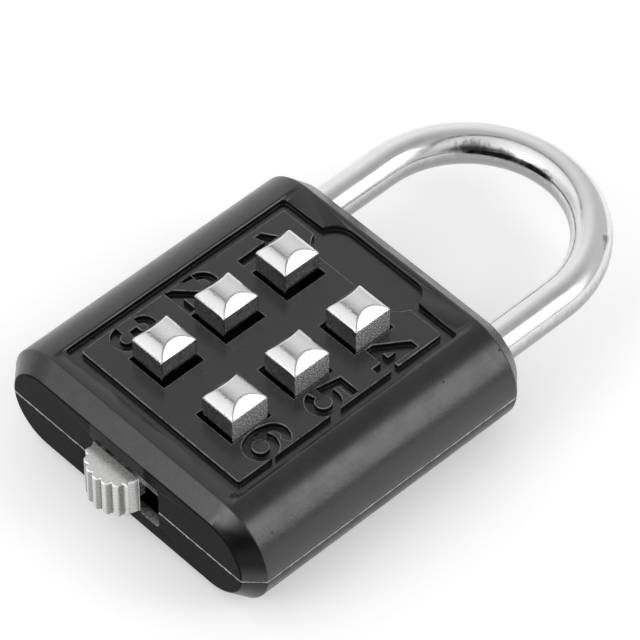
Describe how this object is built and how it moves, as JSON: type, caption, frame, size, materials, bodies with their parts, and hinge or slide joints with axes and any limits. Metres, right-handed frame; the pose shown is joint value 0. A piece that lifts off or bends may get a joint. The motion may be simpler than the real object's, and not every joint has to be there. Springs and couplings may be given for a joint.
{
  "type": "padlock",
  "caption": "Push-button combination padlock: black cast body, square chromed buttons in two columns with sunk digits, a ribbed release knob in the end face and a polished round shackle.",
  "frame": {"origin": "centre of the body's flat back face", "axes": "+X to the right and +Y towards the shackle as the face with the buttons is seen, +Z out of that face"},
  "size_m": [0.05, 0.0881, 0.0224],
  "materials": {
    "black_paint": "semi-gloss black paint over die-cast zinc",
    "rivet_black": "semi-gloss black",
    "knob_zinc": "satin plated zinc",
    "inner_steel": "plain zinc-plated steel",
    "spring_wire": "drawn spring wire",
    "shackle_chrome": "polished chrome plate",
    "button_chrome": "bright chrome plate over cast zinc",
    "pin_brass": "machined brass"
  },
  "bodies": {
    "case": {"front_case": "black_paint", "back_case": "black_paint", "case_rivets": "rivet_black", "shackle_stop_pin": "inner_steel", "slide_spring": "spring_wire", "shackle_spring": "spring_wire", "button_spring_1": "spring_wire", "button_spring_2": "spring_wire", "button_spring_3": "spring_wire", "button_spring_4": "spring_wire", "button_spring_5": "spring_wire", "button_spring_6": "spring_wire"},
    "slide": {"release_knob": "knob_zinc", "knob_rivets": "inner_steel", "code_slide": "inner_steel"},
    "shackle": {"shackle": "shackle_chrome"},
    "button_1": {"button_1": "button_chrome", "code_pin_1": "pin_brass"},
    "button_2": {"button_2": "button_chrome", "code_pin_2": "pin_brass"},
    "button_3": {"button_3": "button_chrome", "code_pin_3": "pin_brass"},
    "button_4": {"button_4": "button_chrome", "code_pin_4": "pin_brass"},
    "button_5": {"button_5": "button_chrome", "code_pin_5": "pin_brass"},
    "button_6": {"button_6": "button_chrome", "code_pin_6": "pin_brass"}
  },
  "joints": [
    {"name": "knob_slide", "type": "slide", "parent": "case", "child": "slide", "axis": [1, 0, 0], "range_m": [0, 0.0032], "stiffness_N_per_m": 400, "springref_m": -0.004, "deforming": ["slide_spring"]},
    {"name": "shackle_lift", "type": "slide", "parent": "case", "child": "shackle", "axis": [0, 1, 0], "range_m": [0, 0.0115], "deforming": ["shackle_spring"]},
    {"name": "button_1_press", "type": "slide", "parent": "case", "child": "button_1", "axis": [0, 0, -1], "range_m": [0, 0.002], "stiffness_N_per_m": 300, "springref_m": -0.002, "deforming": ["button_spring_1"]},
    {"name": "button_2_press", "type": "slide", "parent": "case", "child": "button_2", "axis": [0, 0, -1], "range_m": [0, 0.002], "stiffness_N_per_m": 300, "springref_m": -0.002, "deforming": ["button_spring_2"]},
    {"name": "button_3_press", "type": "slide", "parent": "case", "child": "button_3", "axis": [0, 0, -1], "range_m": [0, 0.002], "stiffness_N_per_m": 300, "springref_m": -0.002, "deforming": ["button_spring_3"]},
    {"name": "button_4_press", "type": "slide", "parent": "case", "child": "button_4", "axis": [0, 0, -1], "range_m": [0, 0.002], "stiffness_N_per_m": 300, "springref_m": -0.002, "deforming": ["button_spring_4"]},
    {"name": "button_5_press", "type": "slide", "parent": "case", "child": "button_5", "axis": [0, 0, -1], "range_m": [0, 0.002], "stiffness_N_per_m": 300, "springref_m": -0.002, "deforming": ["button_spring_5"]},
    {"name": "button_6_press", "type": "slide", "parent": "case", "child": "button_6", "axis": [0, 0, -1], "range_m": [0, 0.002], "stiffness_N_per_m": 300, "springref_m": -0.002, "deforming": ["button_spring_6"]}
  ],
  "couplings": [
    {"joint": "shackle_lift", "follows": "knob_slide", "ratio": 3.5938}
  ]
}
